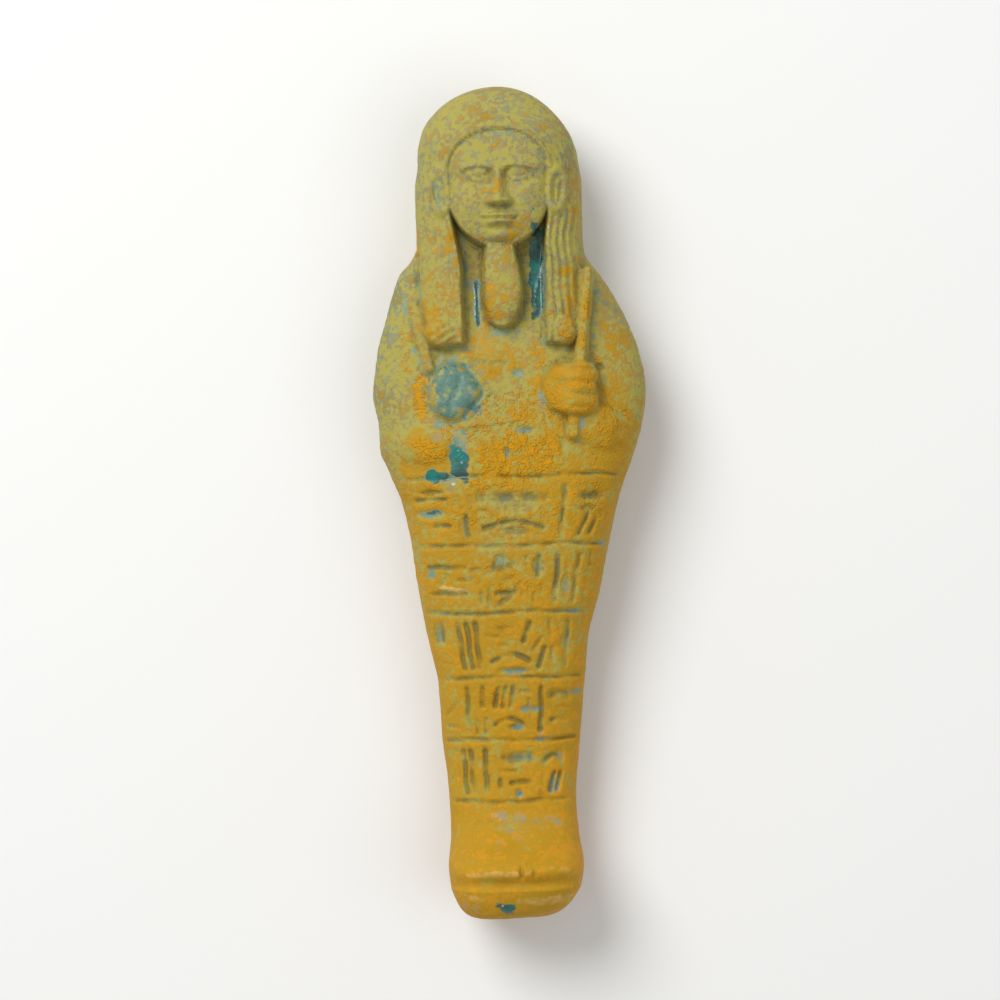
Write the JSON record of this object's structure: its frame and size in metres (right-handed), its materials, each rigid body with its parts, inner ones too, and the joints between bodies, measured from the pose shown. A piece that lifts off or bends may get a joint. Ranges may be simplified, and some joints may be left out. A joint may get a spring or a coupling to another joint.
{
  "type": "ushabti figurine",
  "caption": "Small mummy-shaped faience funerary figure with striated wig, false beard and crossed fists, ruled registers of strokes down the legs and a flat back pillar that it lies on.",
  "frame": {"origin": "middle of the bounding box, at the level of the back pillar's flat face that the figure lies on", "axes": "+X the figure's left side, +Y from the sole to the crown, +Z from the back to the face"},
  "size_m": [0.0395, 0.12, 0.0226],
  "materials": {
    "faience": "weathered Egyptian faience: matt granular ochre crust over grey-green worn glaze, with glossy teal glaze left bare in hollows and where the crust has come away"
  },
  "bodies": {
    "root": {"ushabti_figure": "faience"}
  },
  "joints": []
}
